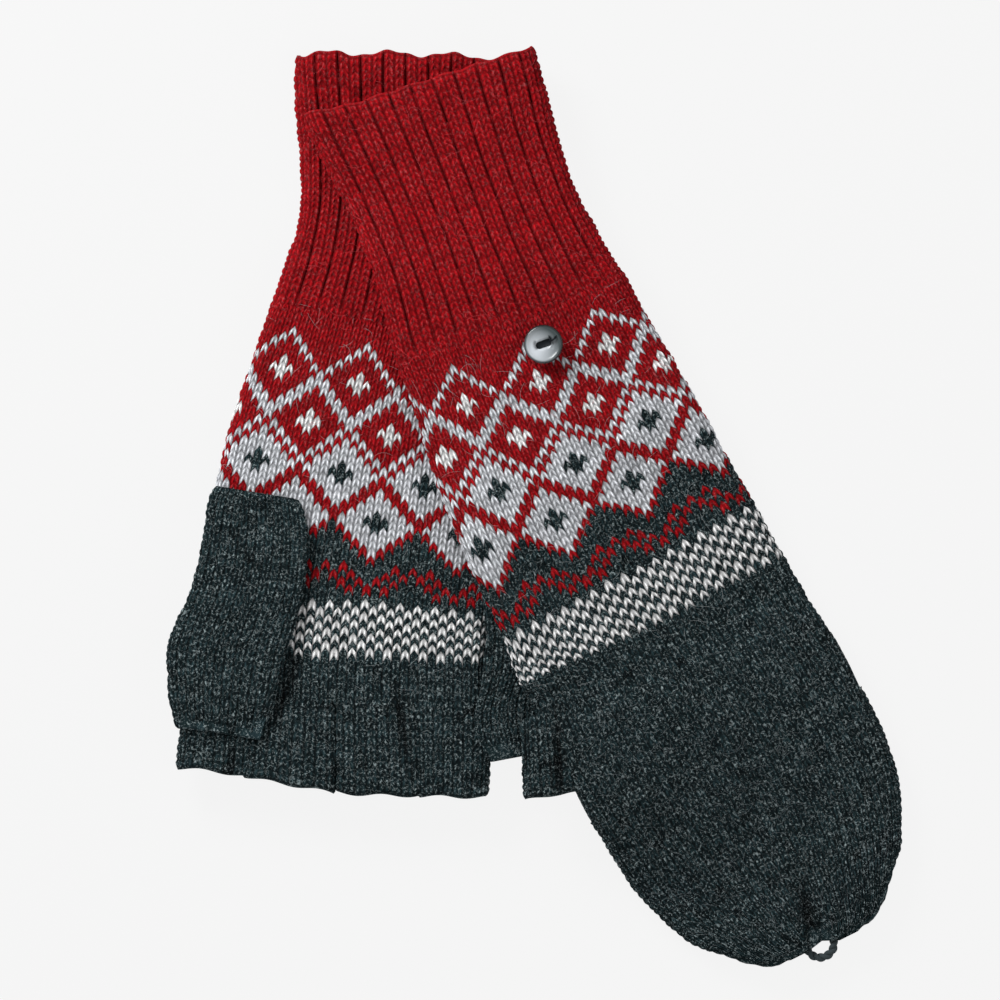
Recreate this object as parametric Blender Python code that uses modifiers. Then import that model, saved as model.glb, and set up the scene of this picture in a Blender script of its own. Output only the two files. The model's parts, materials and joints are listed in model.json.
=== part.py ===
"""A pair of convertible flip-top mittens, laid flat one across the other.

The right mitten lies palm up with its cap folded back beneath it.  The left mitten lies
across it, back of the hand up, with its cap over the finger stubs.  Metres, +Z up.

Each mitten is drawn in its own flat frame:
  u  across the hand, negative on the thumb's side
  s  along the hand, from the edge of the cuff to the finger tips
  n  through the hand, positive towards the back of the hand
and place() of each mitten carries a point of that frame to where the mitten lies.
"""
import math

import bmesh
import bpy
from mathutils import Vector

# ---- driving dimensions, in metres ----
WALL = 0.0018            # thickness of one knitted layer
GAP = 0.0003             # clearance between separate pieces
HAND_HALF = 0.0040       # half the thickness of the flattened hand
MOUTH_HALF = 0.0050      # half the height of the cuff's open mouth
THUMB_HALF = 0.0021      # half the thickness of the flattened thumb
FOLDED_CAP_HALF = 0.0025 # half the thickness of the folded cap's pocket

CUFF_END = 0.079         # where the ribbing ends
HINGE_S = 0.187          # seam that joins the cap to the back of the hand
KNUCKLE_S = 0.194        # where the hand divides into the finger stubs
STUB_LENGTH = 0.0245
POCKET_S = 0.2215        # free edge of the cap's palm side
CAP_TIP_S = 0.283
LEFT_LOOP = (0.2862, 0.0038)         # s of the loop's centre, its reach
RIGHT_LOOP = (0.2868, 0.0055)        # stretched round the button's shank
LOOP_HALF_WIDTH = 0.0040
LEFT_BUTTON = (0.0066, 0.0861)       # u, s
RIGHT_BUTTON = (0.0, 0.0845)

BUTTON_RADIUS = 0.00585
BUTTON_THICK = 0.0022
STEM_LENGTH = 0.0029
SHANK_RADIUS = 0.0012
YARN_RADIUS = 0.0011

THUMB_PIVOT = (-0.0285, 0.1555)      # u, s of the thumb's opening in the palm
THUMB_HOLE_RADIUS = 0.0120
THUMB_HEEL_S = 0.1365
THUMB_HEM_S = 0.2075
LEFT_THUMB_SWING = math.radians(18.5)    # how far the left thumb is turned out from the palm
INDEX_DRAW = 0.0095      # how far the left hand's knuckles are drawn back on the index side
RIGHT_DRAW = 0.0070      # the same on the right hand
DRAW_START_S = 0.165

FOOTPRINT_CENTRE = (0.0, 0.00045)

# centre line of each mitten as it lies: distance from the cuff edge, x, y
LEFT_CENTRE = ((0.000, -0.0347, 0.1260), (0.062, -0.0126, 0.0678), (0.130, 0.0140, 0.0057),
               (0.205, 0.0492, -0.0606), (0.288, 0.0862, -0.1347))
RIGHT_CENTRE = ((0.000, -0.0360, 0.1334), (0.050, -0.0375, 0.0834), (0.117, -0.0504, 0.0179),
                (0.174, -0.0585, -0.0386), (0.219, -0.0597, -0.0868))

# half width along the hand: distance from the cuff edge, half width
LEFT_WIDTH = ((0.000, 0.0365), (0.043, 0.0330), (0.079, 0.0370), (0.127, 0.0422), (0.165, 0.0436),
              (0.200, 0.0442))
RIGHT_WIDTH = ((0.000, 0.0365), (0.050, 0.0335), (0.079, 0.0365), (0.127, 0.0422), (0.200, 0.0450))
CAP_WIDTH = ((0.187, 0.0436), (0.205, 0.0452), (0.222, 0.0455), (0.236, 0.0448), (0.250, 0.0426),
             (0.264, 0.0374), (0.2735, 0.0312), (0.2795, 0.0242), (0.2830, 0.0150))
FOLDED_CAP_NARROWING = 0.88          # the folded cap is drawn in, hidden under the hand
CAP_MIDDLE = ((0.187, 0.0), (0.215, 0.0008), (0.245, 0.0014), (0.283, 0.0016))
THUMB_AXIS = ((0.1365, -0.0298), (0.150, -0.0284), (0.163, -0.0287), (0.183, -0.0333), (0.197, -0.0348),
              (0.2075, -0.0352))
THUMB_WIDTH = ((0.1365, 0.0128), (0.1400, 0.0144), (0.1450, 0.0156), (0.163, 0.0168), (0.183, 0.0176),
               (0.190, 0.0172), (0.198, 0.0158), (0.2075, 0.0133))

# finger stubs: name, u of the base's middle, base half width, splay in degrees, hem half width
LEFT_STUBS = (("index", -0.0386, 0.0106, 20.5, 0.0103),
              ("middle", -0.0150, 0.0122, 5.0, 0.0124),
              ("ring", 0.0100, 0.0120, -1.0, 0.0118),
              ("little", 0.0331, 0.0104, -2.0, 0.0098))
RIGHT_STUBS = (("index", -0.0350, 0.0094, 5.0, 0.0098),
               ("middle", -0.0128, 0.0122, 3.0, 0.0128),
               ("ring", 0.0118, 0.0117, -2.0, 0.0119),
               ("little", 0.0350, 0.0108, 0.0, 0.0092))

# how high each mitten lies
RIGHT_RISE = (0.045, 0.079)          # the folded cap lifts the right hand between these
RIGHT_LIFT = 2 * FOLDED_CAP_HALF + GAP
LEFT_FALL = (-0.006, 0.092)          # the left hand slopes to the table right of the other's edge
TIP_FALL = (0.205, 0.262)            # and the cap's tip comes down to it
THUMB_LAYER = 2 * THUMB_HALF + GAP
THUMB_LAYER_FADE = (0.100, 0.136)    # the left thumb beneath lifts the left hand from here

RED = (0.39, 0.012, 0.028)
GREY = (0.40, 0.40, 0.43)
CHARCOAL = (0.030, 0.041, 0.045)
BUTTON_GREY = (0.30, 0.33, 0.34)
THREAD_BLACK = (0.006, 0.008, 0.010)


# ---- curves through a few driving points ----
def smooth_step(low, high, value):
    share = min(max((value - low) / (high - low), 0.0), 1.0)
    return share * share * (3.0 - 2.0 * share)


def along(points, s):
    """Cubic through points (s, value, ...), straight beyond the ends."""
    last = len(points) - 1
    if s <= points[0][0]:
        first, second = points[0], points[1]
    elif s >= points[last][0]:
        first, second = points[last - 1], points[last]
    else:
        first, second = None, None
    if first:
        share = (s - first[0]) / (second[0] - first[0])
        return [a + share * (b - a) for a, b in zip(first[1:], second[1:])]
    index = max(i for i in range(last) if points[i][0] <= s)
    start, end = points[index], points[index + 1]
    before = points[max(index - 1, 0)]
    after = points[min(index + 2, last)]
    span = end[0] - start[0]
    share = (s - start[0]) / span
    values = []
    for k in range(1, len(start)):
        slope_start = (end[k] - before[k]) / (end[0] - before[0])
        slope_end = (after[k] - start[k]) / (after[0] - start[0])
        values.append((2 * share**3 - 3 * share**2 + 1) * start[k]
                      + (share**3 - 2 * share**2 + share) * span * slope_start
                      + (-2 * share**3 + 3 * share**2) * end[k]
                      + (share**3 - share**2) * span * slope_end)
    return values


def on_table(centre_line, u, s):
    """x, y of a point u, s of a mitten whose centre line lies along centre_line."""
    x, y = along(centre_line, s)
    ahead = along(centre_line, s + 0.002)
    behind = along(centre_line, s - 0.002)
    run = Vector((ahead[0] - behind[0], ahead[1] - behind[1])).normalized()
    return x - u * run.y - FOOTPRINT_CENTRE[0], y + u * run.x - FOOTPRINT_CENTRE[1]


# ---- where each mitten lies ----
def right_rest_height(s):
    return RIGHT_LIFT * smooth_step(*RIGHT_RISE, s)


def drawn_back(amount, u, s):
    """s after the knuckles on the index side are drawn back towards the cuff."""
    return s - amount * smooth_step(DRAW_START_S, KNUCKLE_S, s) * smooth_step(-0.010, 0.052, -u)


def place_right(u, s, n):
    x, y = on_table(RIGHT_CENTRE, u, s)
    return Vector((x, y, right_rest_height(s) + HAND_HALF - n))


def place_right_hand(u, s, n):
    return place_right(u, drawn_back(RIGHT_DRAW, u, s), n)


def right_edge_x(y):
    """x of the right mitten's edge, under the left one."""
    return -0.0120 + 0.0125 * smooth_step(-0.020, 0.100, y)


def stack_height(y):
    """Height of the right mitten's upper face at this y."""
    mouth = 1.2 * (MOUTH_HALF - HAND_HALF) * smooth_step(0.092, 0.120, y)
    lift = RIGHT_LIFT * (1.0 - smooth_step(0.062, 0.098, y))
    return 2 * HAND_HALF + mouth + lift + 2 * GAP


def left_rest_height(x, y, s):
    """Up on the right mitten, a straight slope to the right of it, and down at the tip."""
    thumb = THUMB_LAYER * smooth_step(*THUMB_LAYER_FADE, s)
    start, end = LEFT_FALL
    fallen = min(max((x - right_edge_x(y) - start) / (end - start), 0.0), 1.0)
    return (stack_height(y) + thumb) * (1.0 - fallen) * (1.0 - smooth_step(*TIP_FALL, s))


def place_left(u, s, n):
    x, y = on_table(LEFT_CENTRE, u, s)
    return Vector((x, y, left_rest_height(x, y, s) + HAND_HALF + n))


def place_left_hand(u, s, n):
    return place_left(u, drawn_back(INDEX_DRAW, u, s), n)


# ---- cross-sections ----
def flat_section(turn, half_width, half_thick):
    """A flattened tube's outline: turn 0 to 1 round it, flat top and bottom, round edges."""
    quarter, share = divmod((turn % 1.0) * 4.0, 1.0)
    flat = half_width - half_thick
    if quarter == 0:
        angle = math.pi * (share - 0.5)
        return flat + half_thick * math.cos(angle), half_thick * math.sin(angle)
    if quarter == 1:
        return flat * (1.0 - 2.0 * share), half_thick
    if quarter == 2:
        angle = math.pi * (share + 0.5)
        return -flat + half_thick * math.cos(angle), half_thick * math.sin(angle)
    return -flat * (1.0 - 2.0 * share), -half_thick


# ---- building blocks ----
def material(name, colour, roughness, metallic=0.0):
    made = bpy.data.materials.get(name) or bpy.data.materials.new(name)
    made.use_nodes = True
    shader = made.node_tree.nodes["Principled BSDF"]
    shader.inputs["Base Color"].default_value = (*colour, 1.0)
    shader.inputs["Roughness"].default_value = roughness
    shader.inputs["Metallic"].default_value = metallic
    return made


def add_object(name, mesh, collection, surface=None):
    made = bpy.data.objects.new(name, mesh)
    collection.objects.link(made)
    if surface:
        mesh.materials.append(surface)
        mesh.shade_smooth()
        mesh.set_sharp_from_angle(angle=math.radians(40))
    return made


def middle_of(verts):
    return sum((vert.co for vert in verts), Vector()) / len(verts)


def tube_mesh(name, stations, around, section, closed_end=False):
    """An open cylinder with a ring at each station, each ring moved to section(turn, s)."""
    bm = bmesh.new()
    bmesh.ops.create_cone(bm, cap_ends=False, segments=around, radius1=1.0, radius2=1.0, depth=2.0)
    rising = [e for e in bm.edges if abs(e.verts[0].co.z - e.verts[1].co.z) > 1.0]
    bmesh.ops.subdivide_edges(bm, edges=rising, cuts=len(stations) - 2, use_grid_fill=True)
    rings = [[] for _ in stations]
    ring_of = {}
    for vert in bm.verts:
        ring = round((vert.co.z + 1.0) / 2.0 * (len(stations) - 1))
        turn = math.atan2(vert.co.y, vert.co.x) / (2.0 * math.pi)
        vert.co = section(turn, stations[ring])
        rings[ring].append(vert)
        ring_of[vert] = ring
    bm.normal_update()
    middles = [middle_of(ring) for ring in rings]
    outward = sum(face.calc_area() * face.normal.dot(middle_of(face.verts) - middles[ring_of[face.verts[0]]])
                  for face in bm.faces)
    if outward < 0.0:
        bmesh.ops.reverse_faces(bm, faces=bm.faces)
    if closed_end:
        rim = {e for vert in rings[-1] for e in vert.link_edges if e.is_boundary}
        end = bmesh.ops.contextual_create(bm, geom=list(rim))["faces"][0]
        end.normal_update()
        if end.normal.dot(middles[-1] - middles[-2]) < 0.0:
            end.normal_flip()
    mesh = bpy.data.meshes.new(name)
    bm.to_mesh(mesh)
    bm.free()
    return mesh


def spaced(start, end, count):
    return [start + (end - start) * i / (count - 1) for i in range(count)]


def thicken(piece):
    shell = piece.modifiers.new("knit_layer", "SOLIDIFY")
    shell.thickness = WALL
    shell.offset = -1.0
    shell.use_even_offset = True


def cut(piece, cutter):
    boolean = piece.modifiers.new("opening", "BOOLEAN")
    boolean.operation = "DIFFERENCE"
    boolean.object = cutter


def hide_cutter(cutter):
    cutter.hide_render = True
    cutter.display_type = "WIRE"
    return cutter


def mapped_box(name, cutters, place, u_range, s_range, n_range, cuts=12):
    """A box of a mitten's own frame, laid out as the mitten lies: a cutter."""
    bm = bmesh.new()
    bmesh.ops.create_cube(bm, size=2.0)
    bmesh.ops.subdivide_edges(bm, edges=bm.edges[:], cuts=cuts, use_grid_fill=True)
    for vert in bm.verts:
        u, s, n = (low + (high - low) * (value + 1.0) / 2.0
                   for value, (low, high) in zip(vert.co, (u_range, s_range, n_range)))
        vert.co = place(u, s, n)
    if bm.calc_volume(signed=True) < 0.0:
        bmesh.ops.reverse_faces(bm, faces=bm.faces)
    mesh = bpy.data.meshes.new(name)
    bm.to_mesh(mesh)
    bm.free()
    return hide_cutter(add_object(name, mesh, cutters))


def disc_cutter(name, cutters, centre, radius, height):
    bm = bmesh.new()
    bmesh.ops.create_cone(bm, cap_ends=True, segments=24, radius1=radius, radius2=radius, depth=height)
    mesh = bpy.data.meshes.new(name)
    bm.to_mesh(mesh)
    bm.free()
    cutter = add_object(name, mesh, cutters)
    cutter.location = centre
    return hide_cutter(cutter)


def turned_piece(name, collection, surface, profile, steps, location, axis_down=False):
    """A profile of (radius, height) pairs, down its outer side, turned about Z."""
    mesh = bpy.data.meshes.new(name)
    points = [(radius, 0.0, height) for radius, height in profile]
    mesh.from_pydata(points, [(i, i + 1) for i in range(len(points) - 1)], [])
    made = add_object(name, mesh, collection, surface)
    made.location = location
    if axis_down:
        made.rotation_euler = (math.pi, 0.0, 0.0)
    screw = made.modifiers.new("turn", "SCREW")
    screw.steps = steps
    screw.render_steps = steps
    screw.use_merge_vertices = True
    screw.merge_threshold = 0.00001
    return made


def yarn(name, collection, surface, points, radius, sides=4):
    """A piece of yarn through the given points, its ends closed."""
    curve = bpy.data.curves.new(name, "CURVE")
    curve.dimensions = "3D"
    curve.bevel_depth = radius
    curve.bevel_resolution = sides
    curve.use_fill_caps = True
    curve.resolution_u = 1
    spline = curve.splines.new("POLY")
    spline.points.add(len(points) - 1)
    for control, point in zip(spline.points, points):
        control.co = (*point, 1.0)
    curve.materials.append(surface)
    made = bpy.data.objects.new(name, curve)
    collection.objects.link(made)
    return made


# ---- the pieces of a mitten ----
def cuff_half(s):
    return HAND_HALF + (MOUTH_HALF - HAND_HALF) * (1.0 - smooth_step(0.0, 0.025, s))


def add_cuff(name, place, widths, parts, surface):
    def section(turn, s):
        half = cuff_half(s)
        u, n = flat_section(turn, along(widths, s)[0], half)
        lies_on_it = n > 0 if place is place_right_hand else n < 0
        return place(u, s, n * HAND_HALF / half if lies_on_it else n)
    mesh = tube_mesh(name, spaced(0.0, CUFF_END - GAP / 2, 15), 32, section)
    thicken(add_object(name, mesh, parts, surface))


def add_hand(name, place, widths, parts, cutters, surface):
    def section(turn, s):
        u, n = flat_section(turn, along(widths, s)[0], HAND_HALF)
        return place(u, s, n)
    mesh = tube_mesh(name, spaced(CUFF_END + GAP / 2, KNUCKLE_S - GAP / 2, 17), 40, section)
    hand = add_object(name, mesh, parts, surface)
    thicken(hand)
    u, s = THUMB_PIVOT
    centre = place(u, s, -HAND_HALF + WALL / 2)
    cut(hand, disc_cutter(name + "_thumb_hole", cutters, centre, THUMB_HOLE_RADIUS, 0.0055))


def add_thumb(name, place, swing, parts, cutters, surface):
    pivot_u, pivot_s = THUMB_PIVOT

    def section(turn, s):
        u, n = flat_section(turn, along(THUMB_WIDTH, s)[0], THUMB_HALF)
        across = along(THUMB_AXIS, s)[0] + u - pivot_u
        down = s - pivot_s
        return place(pivot_u + across * math.cos(swing) - down * math.sin(swing),
                     pivot_s + across * math.sin(swing) + down * math.cos(swing),
                     n - HAND_HALF - GAP - THUMB_HALF)
    stations = spaced(THUMB_HEM_S, 0.145, 10) + [0.1425, 0.1395, THUMB_HEEL_S]
    mesh = tube_mesh(name, stations, 24, section, closed_end=True)
    thumb = add_object(name, mesh, parts, surface)
    thicken(thumb)
    u, s = THUMB_PIVOT
    centre = place(u, s, -HAND_HALF - GAP - WALL / 2)
    cut(thumb, disc_cutter(name + "_hole", cutters, centre, THUMB_HOLE_RADIUS, 0.0030))


def add_stub(prefix, place, stub, parts, surface):
    name, base_u, base_half, splay, hem_half = stub
    lean = math.tan(math.radians(splay))

    def section(turn, s):
        share = (s - KNUCKLE_S) / STUB_LENGTH
        u, n = flat_section(turn, base_half + (hem_half - base_half) * share, HAND_HALF)
        return place(base_u - lean * (s - KNUCKLE_S) + u, s, n)
    mesh = tube_mesh(prefix + name, spaced(KNUCKLE_S + GAP / 2, KNUCKLE_S + STUB_LENGTH, 5), 24, section)
    thicken(add_object(prefix + name, mesh, parts, surface))


def add_cap(name, parts, cutters, surface, place, section, palm_side):
    """A cap in two pieces: a single layer as far as the stubs' hems, then a closed pocket."""
    back = name + "_back"
    layer = tube_mesh(back, spaced(HINGE_S, POCKET_S - GAP, 6), 40, section)
    layer = add_object(back, layer, parts, surface)
    thicken(layer)
    cut(layer, mapped_box(back + "_palm_opening", cutters, place, (-0.060, 0.060),
                          (HINGE_S - 0.010, POCKET_S + 0.010), palm_side))
    stations = [POCKET_S, 0.229, 0.237, 0.246, 0.254, 0.261, 0.267, 0.272, 0.276, 0.2792, 0.2815, CAP_TIP_S]
    thicken(add_object(name, tube_mesh(name, stations, 40, section, closed_end=True), parts, surface))


def add_left_cap(name, parts, cutters, surface):
    """The cap over the finger stubs."""
    over_stubs = HAND_HALF + GAP + WALL

    def section(turn, s):
        u, n = flat_section(turn, along(CAP_WIDTH, s)[0], HAND_HALF)
        drop = smooth_step(POCKET_S, POCKET_S + 0.030, s)
        top = over_stubs + (HAND_HALF - over_stubs) * drop
        return place_left(along(CAP_MIDDLE, s)[0] + u, s, n * top / HAND_HALF if n > 0 else n)
    add_cap(name, parts, cutters, surface, place_left, section, (-0.012, HAND_HALF + GAP))


def add_right_cap(name, parts, cutters, surface):
    """The same cap folded back under the hand about its seam, pressed flat."""
    def folded(u, s, n):
        return place_right(u, 2.0 * HINGE_S - s, HAND_HALF + GAP + FOLDED_CAP_HALF + n)

    def section(turn, s):
        u, n = flat_section(turn, FOLDED_CAP_NARROWING * along(CAP_WIDTH, s)[0], FOLDED_CAP_HALF)
        return folded(u, s, n)
    add_cap(name, parts, cutters, surface, folded, section, (WALL - FOLDED_CAP_HALF, 0.012))


def loop_points(place, n, centre_s, reach):
    """A hanging loop at the cap's tip: out, round and back."""
    points = []
    for i in range(17):
        angle = math.radians(-35.0 + 250.0 * i / 16)
        points.append(place(LOOP_HALF_WIDTH * math.cos(angle), centre_s + reach * math.sin(angle), n))
    return points


def add_loops(parts, surface):
    def folded(u, s, n):
        return place_right(u, 2.0 * HINGE_S - s, n)
    round_shank = HAND_HALF + GAP + YARN_RADIUS
    yarn("left_cap_loop", parts, surface, loop_points(place_left, 0.0, *LEFT_LOOP), YARN_RADIUS)
    yarn("right_cap_loop", parts, surface, loop_points(folded, round_shank, *RIGHT_LOOP), YARN_RADIUS)


def add_button(prefix, face, upward, parts, pearl, thread):
    """A domed shank button with an oblong recess, sewn on with black thread."""
    sign = 1.0 if upward else -1.0
    stem = STEM_LENGTH
    top = stem + BUTTON_THICK
    rim = BUTTON_RADIUS
    profile = ((0.0, top - 0.0006), (rim * 0.62, top - 0.0005), (rim * 0.80, top), (rim * 0.93, top - 0.0003),
               (rim, top - 0.0011), (rim * 0.95, stem + 0.0005), (rim * 0.70, stem), (0.0, stem))
    turned_piece(prefix + "button", parts, pearl, profile, 28, face, not upward)
    shank = ((0.0, stem - GAP), (SHANK_RADIUS, stem - GAP), (SHANK_RADIUS, GAP), (0.0, GAP))
    turned_piece(prefix + "button_shank", parts, thread, shank, 12, face, not upward)
    if upward:
        tails = [(0.0004, 0.0002, top + 0.0004), (0.0030, 0.0011, top + 0.0008),
                 (0.0058, 0.0014, top + 0.0005), (0.0072, 0.0024, top)]
        points = [face + Vector((x, y, sign * z)) for x, y, z in tails]
        yarn(prefix + "button_thread", parts, thread, points, 0.00035, 1)


def build():
    for old in list(bpy.data.objects):
        bpy.data.objects.remove(old, do_unlink=True)
    parts = bpy.data.collections.new("flip_top_mittens")
    cutters = bpy.data.collections.new("cutters")
    bpy.context.scene.collection.children.link(parts)
    bpy.context.scene.collection.children.link(cutters)
    red = material("red_wool", RED, 0.95)
    patterned = material("patterned_wool", GREY, 0.95)
    charcoal = material("charcoal_wool", CHARCOAL, 0.95)
    pearl = material("button_pearl", BUTTON_GREY, 0.25, 0.4)
    thread = material("black_thread", THREAD_BLACK, 0.8)

    mittens = (("left_", place_left_hand, LEFT_WIDTH, LEFT_STUBS, LEFT_THUMB_SWING),
               ("right_", place_right_hand, RIGHT_WIDTH, RIGHT_STUBS, 0.0))
    for prefix, place, widths, stubs, swing in mittens:
        add_cuff(prefix + "cuff", place, widths, parts, red)
        add_hand(prefix + "hand", place, widths, parts, cutters, patterned)
        add_thumb(prefix + "thumb", place, swing, parts, cutters, charcoal)
        for stub in stubs:
            add_stub(prefix, place, stub, parts, charcoal)
    add_left_cap("left_cap", parts, cutters, charcoal)
    add_right_cap("right_cap", parts, cutters, charcoal)
    add_loops(parts, charcoal)
    add_button("left_", place_left(*LEFT_BUTTON, HAND_HALF), True, parts, pearl, thread)
    add_button("right_", place_right(*RIGHT_BUTTON, HAND_HALF), False, parts, pearl, thread)


build()
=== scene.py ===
"""The looks of a pair of convertible flip-top mittens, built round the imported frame.

Every knitted piece is a grid of real stitches.  Its columns are the stitches' legs and its
rows the courses, drawn out into chevrons, so that each stitch is a raised V that points
towards the cuff and takes one colour of the pattern.  u runs across the hand, s along it
from the cuff's edge, n through it towards the back of the hand.
"""
import json
import math

import bmesh
import bpy
import numpy as np
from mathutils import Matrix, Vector

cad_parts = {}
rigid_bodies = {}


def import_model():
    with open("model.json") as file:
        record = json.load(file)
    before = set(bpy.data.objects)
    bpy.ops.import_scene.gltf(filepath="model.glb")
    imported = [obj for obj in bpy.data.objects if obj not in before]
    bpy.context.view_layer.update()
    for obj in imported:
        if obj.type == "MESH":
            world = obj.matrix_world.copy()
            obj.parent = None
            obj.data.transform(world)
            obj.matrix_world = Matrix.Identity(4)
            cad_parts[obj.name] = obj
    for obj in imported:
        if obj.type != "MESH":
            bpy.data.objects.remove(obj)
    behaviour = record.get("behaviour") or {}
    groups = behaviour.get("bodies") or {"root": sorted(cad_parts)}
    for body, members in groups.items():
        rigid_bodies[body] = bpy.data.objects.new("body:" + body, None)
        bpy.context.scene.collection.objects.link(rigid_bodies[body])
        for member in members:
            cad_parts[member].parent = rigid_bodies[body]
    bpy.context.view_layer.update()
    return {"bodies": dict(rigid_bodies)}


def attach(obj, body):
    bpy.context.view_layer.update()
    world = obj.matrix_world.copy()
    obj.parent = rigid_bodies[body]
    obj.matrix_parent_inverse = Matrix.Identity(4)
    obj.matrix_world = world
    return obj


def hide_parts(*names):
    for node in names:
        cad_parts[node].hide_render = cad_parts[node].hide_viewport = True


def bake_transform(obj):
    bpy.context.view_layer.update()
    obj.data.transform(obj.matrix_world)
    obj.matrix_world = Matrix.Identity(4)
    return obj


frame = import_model()

# ---- the mittens' sizes, in metres, as in the frame ----
HAND_HALF = 0.0040           # half the thickness of the flattened hand
MOUTH_HALF = 0.0050          # half the height of the cuff's open mouth
THUMB_HALF = 0.0021
FOLDED_CAP_HALF = 0.0025
LAYER = 0.0018               # thickness of one knitted layer
GAP = 0.0003                 # between separate pieces
HINGE_S = 0.187              # seam that joins the cap to the back of the hand
KNUCKLE_S = 0.194            # where the hand divides into the finger stubs
STUB_LENGTH = 0.0245
POCKET_S = 0.2215            # free edge of the cap's palm side
CAP_TIP_S = 0.283
THUMB_PIVOT = (-0.0285, 0.1555)      # u, s
THUMB_HEEL_S = 0.1365
THUMB_HEM_S = 0.2075
LEFT_THUMB_SWING = math.radians(18.5)
LEFT_DRAW = 0.0095           # how far the knuckles are drawn back on the index side
RIGHT_DRAW = 0.0070
DRAW_START_S = 0.165
FOOTPRINT_CENTRE = (0.0, 0.00045)
YARN_RADIUS = 0.0011
PLY_SHARE = 0.74             # a ply's radius, as a share of its yarn's
LEFT_LOOP = (0.0007, 0.2850, 0.0042)    # u, s of its centre, radius
RIGHT_LOOP = (0.2868, 0.0055)           # s of its centre, reach
RIGHT_LOOP_HALF_WIDTH = 0.0040
LEFT_BUTTON = (0.0066, 0.0861)          # u, s
RIGHT_BUTTON = (0.0, 0.0845)
BUTTON_RADIUS = 0.00585
BUTTON_THICK = 0.0022
STEM_LENGTH = 0.0029

# centre line of each mitten as it lies: distance from the cuff edge, x, y
LEFT_CENTRE = ((0.000, -0.0347, 0.1260), (0.062, -0.0126, 0.0678), (0.130, 0.0140, 0.0057),
               (0.205, 0.0492, -0.0606), (0.288, 0.0862, -0.1347))
RIGHT_CENTRE = ((0.000, -0.0360, 0.1334), (0.050, -0.0375, 0.0834), (0.117, -0.0504, 0.0179),
                (0.174, -0.0585, -0.0386), (0.219, -0.0597, -0.0868))
# half width along the hand: distance from the cuff edge, half width
LEFT_WIDTH = ((0.000, 0.0365), (0.043, 0.0330), (0.079, 0.0370), (0.127, 0.0422), (0.165, 0.0436),
              (0.200, 0.0442))
RIGHT_WIDTH = ((0.000, 0.0365), (0.050, 0.0335), (0.079, 0.0365), (0.127, 0.0422), (0.200, 0.0450))
CAP_WIDTH = ((0.187, 0.0436), (0.205, 0.0452), (0.222, 0.0455), (0.236, 0.0448), (0.250, 0.0426),
             (0.264, 0.0374), (0.2735, 0.0312), (0.2795, 0.0242), (0.2830, 0.0150))
FOLDED_CAP_NARROWING = 0.88
CAP_MIDDLE = ((0.187, 0.0), (0.215, 0.0008), (0.245, 0.0014), (0.283, 0.0016))
THUMB_AXIS = ((0.1365, -0.0298), (0.150, -0.0284), (0.163, -0.0287), (0.183, -0.0333), (0.197, -0.0348),
              (0.2075, -0.0352))
THUMB_WIDTH = ((0.1365, 0.0128), (0.1400, 0.0144), (0.1450, 0.0156), (0.163, 0.0168), (0.183, 0.0176),
               (0.190, 0.0172), (0.198, 0.0158), (0.2075, 0.0133))
# finger stubs: name, u of the base's middle, base half width, splay in degrees, hem half width
LEFT_STUBS = (("index", -0.0386, 0.0106, 20.5, 0.0103),
              ("middle", -0.0150, 0.0122, 5.0, 0.0124),
              ("ring", 0.0100, 0.0120, -1.0, 0.0118),
              ("little", 0.0331, 0.0104, -2.0, 0.0098))
RIGHT_STUBS = (("index", -0.0350, 0.0094, 5.0, 0.0098),
               ("middle", -0.0128, 0.0122, 3.0, 0.0128),
               ("ring", 0.0118, 0.0117, -2.0, 0.0119),
               ("little", 0.0350, 0.0108, 0.0, 0.0092))
# how high each mitten lies
RIGHT_RISE = (0.045, 0.079)          # the folded cap lifts the right hand between these
RIGHT_LIFT = 2 * FOLDED_CAP_HALF + GAP
LEFT_FALL = (-0.006, 0.092)          # the left hand slopes to the table right of the other's edge
TIP_FALL = (0.205, 0.262)            # and the cap's tip comes down to it
THUMB_LAYER = 2 * THUMB_HALF + GAP
THUMB_LAYER_FADE = (0.100, 0.136)    # the left thumb beneath lifts the left hand from here
# creases in the sides that lie uppermost, on the table, sunk and darkened with painted shade: start, end,
# width, share of the full depth
LEFT_CREASES = (((-0.0039, -0.0585), (-0.0033, -0.0790), 0.0011, 0.75),
                ((0.0063, -0.0560), (0.0077, -0.0850), 0.0015, 0.85),
                ((0.0798, -0.1130), (0.0833, -0.1300), 0.0024, 1.0))
RIGHT_CREASES = (((-0.0372, -0.0837), (-0.0405, -0.0615), 0.0014, 0.85),
                 ((-0.0801, -0.0720), (-0.0717, -0.0477), 0.0018, 0.70),
                 ((-0.0903, -0.0825), (-0.0909, -0.0747), 0.0012, 0.75),
                 ((-0.0597, -0.0861), (-0.0603, -0.0777), 0.0010, 0.45))

# ---- the knitting ----
COURSE = 0.00224             # height of a row of stitches
HAND_WALES = 70              # stitches round the hand
LEFT_PATTERN_S = 0.0774      # where the patterned knitting starts
RIGHT_PATTERN_S = 0.0807
FIRST_COURSE = -2            # of the patterned knitting, in the lattice's count
RIGHT_SHIFT = 3              # stitches that the right hand's pattern is turned by
REPEAT = 10                  # stitches in the pattern's repeat
DIAMOND_PITCH = 6            # courses from a line of diamonds to the next
DIAMOND_LINES = 4
LAST_OPEN_LINE = 2           # the diamonds beyond it are filled
WAVE_COURSE = 31.4           # middle of the dotted red wave beyond the diamonds
WAVE_HEIGHT = 1.4
BIRDS_EYE_COURSES = (35, 42)
THUMB_WALES = 26
STUB_WALES = 18
RIB_REPEATS = 23             # ribs round the cuff: two knit wales and a purl groove each
GROOVE_SHARE = 0.06          # of a rib's width
RIB_TURN = 0.0060            # turns the ribs to where they lie on the mitten
COLUMNS_PER_STITCH = 8
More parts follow.
